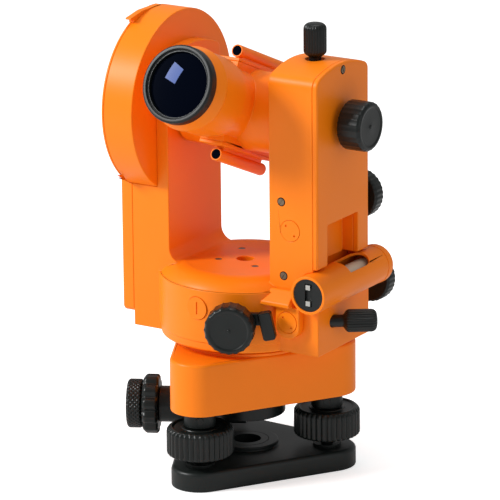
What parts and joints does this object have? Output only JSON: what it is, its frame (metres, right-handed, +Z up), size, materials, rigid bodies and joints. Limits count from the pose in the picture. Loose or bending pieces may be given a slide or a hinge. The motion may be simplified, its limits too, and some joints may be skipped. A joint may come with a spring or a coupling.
{
  "type": "theodolite",
  "caption": "Optical theodolite on a three-screw levelling base: turning standards with plate level, tilting telescope, glass circles, clamps and slow-motion knobs.",
  "frame": {"origin": "centre of the tripod thread in the underside of the base plate", "axes": "+Z up along the vertical axis, -Y towards the objective side of the telescope, +X towards the standard with the focusing knob"},
  "size_m": [0.1336, 0.1268, 0.2281],
  "materials": {
    "orange_paint": "satin enamel, orange",
    "black_casting": "satin black",
    "black_knob": "satin black moulded grip",
    "black_cell": "black anodised",
    "steel": "turned",
    "coated_glass": "polished, coated",
    "circle_glass": "polished",
    "vial_glass": "polished",
    "mirror_silver": "polished"
  },
  "bodies": {
    "tribrach": {"base_plate": "black_casting", "tripod_bush": "black_casting", "foot_stems": "black_casting", "ball_retainers": "black_casting", "foot_collars": "black_casting", "collar_screws": "black_casting", "tribrach_housing": "orange_paint", "housing_floor": "black_casting", "tribrach_hub": "black_casting", "axis_bush": "steel"},
    "foot_screw_a": {"foot_screw_a": "black_knob"},
    "foot_screw_b": {"foot_screw_b": "black_knob"},
    "foot_screw_c": {"foot_screw_c": "black_knob"},
    "limb_clamp": {"limb_clamp_ring": "black_knob"},
    "limb_tangent": {"limb_tangent_knob": "black_knob"},
    "limb": {"limb_sleeve": "steel", "horizontal_circle": "circle_glass"},
    "alidade": {"vertical_spindle": "steel", "standards_frame": "orange_paint", "drum_ring": "orange_paint", "platform_screws": "steel", "right_cover": "orange_paint", "left_cover": "orange_paint", "case_screws": "steel", "circle_housing": "orange_paint", "compass_rail": "orange_paint", "axle_bearings": "steel", "drive_lock_housing": "orange_paint", "port_caps": "orange_paint", "level_tube": "orange_paint", "level_plug": "black_cell", "level_screws": "steel", "level_vial": "vial_glass", "level_end_cap": "orange_paint", "mirror_bracket": "orange_paint"},
    "telescope": {"telescope_body": "orange_paint", "objective_cell": "black_cell", "objective_lens": "coated_glass", "trunnion_axles": "steel", "vertical_circle_hub": "steel", "vertical_circle": "circle_glass", "sight_saddles": "orange_paint", "sight_tubes": "orange_paint", "sight_windows": "coated_glass", "eyepiece_tube": "black_cell", "eyepiece_lens": "coated_glass", "reading_microscope": "black_cell"},
    "focus_knob": {"focus_knob": "black_knob"},
    "focus_group": {"focus_cell": "black_cell", "focus_lens": "coated_glass"},
    "eyepiece": {"eyepiece_ring": "black_knob"},
    "microscope_eyepiece": {"microscope_ring": "black_knob"},
    "tilt_clamp": {"tilt_clamp_knob": "black_knob"},
    "tilt_tangent": {"tilt_tangent_knob": "black_knob"},
    "base_clamp": {"base_clamp_knob": "black_knob"},
    "base_tangent": {"base_tangent_knob": "black_knob"},
    "circle_drive": {"circle_drive_knob": "black_knob"},
    "lock_lever": {"lock_lever": "black_knob"},
    "light_mirror": {"mirror_frame": "black_cell", "mirror_glass": "mirror_silver"}
  },
  "joints": [
    {"name": "limb_spin", "type": "hinge", "parent": "tribrach", "child": "limb", "pos_m": [0, 0, 0.09], "axis": [0, 0, 1], "continuous": true},
    {"name": "alidade_spin", "type": "hinge", "parent": "tribrach", "child": "alidade", "pos_m": [0, 0, 0.09], "axis": [0, 0, 1], "continuous": true},
    {"name": "telescope_tilt", "type": "hinge", "parent": "alidade", "child": "telescope", "pos_m": [0, 0, 0.1806], "axis": [1, 0, 0], "continuous": true},
    {"name": "focus_turn", "type": "hinge", "parent": "telescope", "child": "focus_knob", "pos_m": [0, 0, 0.1806], "axis": [1, 0, 0], "range_deg": [-270, 270]},
    {"name": "focus_slide", "type": "slide", "parent": "telescope", "child": "focus_group", "axis": [0, -0.9205, 0.3907], "range_m": [-0.0047, 0.0047]},
    {"name": "eyepiece_turn", "type": "hinge", "parent": "telescope", "child": "eyepiece", "pos_m": [0, 0.04603, 0.16106], "axis": [0, -0.9205, 0.3907], "range_deg": [-120, 120]},
    {"name": "microscope_turn", "type": "hinge", "parent": "telescope", "child": "microscope_eyepiece", "pos_m": [0.0196, 0.04759, 0.16475], "axis": [0, -0.9205, 0.3907], "range_deg": [-120, 120]},
    {"name": "tilt_clamp_turn", "type": "hinge", "parent": "alidade", "child": "tilt_clamp", "pos_m": [0.0405, 0, 0.2105], "axis": [0, 0, 1], "range_deg": [-120, 30]},
    {"name": "tilt_tangent_turn", "type": "hinge", "parent": "alidade", "child": "tilt_tangent", "pos_m": [0.046, 0.028, 0.137], "axis": [0, 1, 0], "range_deg": [-1080, 1080]},
    {"name": "base_clamp_turn", "type": "hinge", "parent": "alidade", "child": "base_clamp", "pos_m": [0.056, -0.0092, 0.0841], "axis": [0.8192, 0.5736, 0], "range_deg": [-120, 20]},
    {"name": "base_tangent_turn", "type": "hinge", "parent": "alidade", "child": "base_tangent", "pos_m": [0.0475, 0.035, 0.0923], "axis": [0, 1, 0], "range_deg": [-1080, 1080]},
    {"name": "circle_drive_turn", "type": "hinge", "parent": "alidade", "child": "circle_drive", "pos_m": [0.0183, -0.04111, 0.0858], "axis": [0.4067, -0.9135, 0], "continuous": true},
    {"name": "lock_lever_turn", "type": "hinge", "parent": "alidade", "child": "lock_lever", "pos_m": [0.0183, -0.04111, 0.0858], "axis": [0.4067, -0.9135, 0], "range_deg": [0, 25]},
    {"name": "limb_clamp_turn", "type": "hinge", "parent": "tribrach", "child": "limb_clamp", "pos_m": [-0.04009, -0.02043, 0.0292], "axis": [-0.891, -0.454, 0], "range_deg": [-30, 60]},
    {"name": "limb_tangent_turn", "type": "hinge", "parent": "tribrach", "child": "limb_tangent", "pos_m": [-0.04009, -0.02043, 0.0292], "axis": [-0.891, -0.454, 0], "range_deg": [-1080, 1080]},
    {"name": "foot_a_turn", "type": "hinge", "parent": "tribrach", "child": "foot_screw_a", "pos_m": [-0.00208, -0.03965, 0.016], "axis": [0, 0, 1], "range_deg": [-720, 720]},
    {"name": "foot_b_turn", "type": "hinge", "parent": "tribrach", "child": "foot_screw_b", "pos_m": [0.03537, 0.01802, 0.016], "axis": [0, 0, 1], "range_deg": [-720, 720]},
    {"name": "foot_c_turn", "type": "hinge", "parent": "tribrach", "child": "foot_screw_c", "pos_m": [-0.03329, 0.02162, 0.016], "axis": [0, 0, 1], "range_deg": [-720, 720]},
    {"name": "mirror_turn", "type": "hinge", "parent": "alidade", "child": "light_mirror", "pos_m": [-0.043, 0.0274, 0.1255], "axis": [1, 0, 0], "range_deg": [0, 100]}
  ],
  "couplings": [
    {"joint": "focus_turn", "follows": "focus_slide", "rad_per_m": 1000},
    {"joint": "circle_drive_turn", "follows": "limb_spin", "ratio": -7.976}
  ]
}
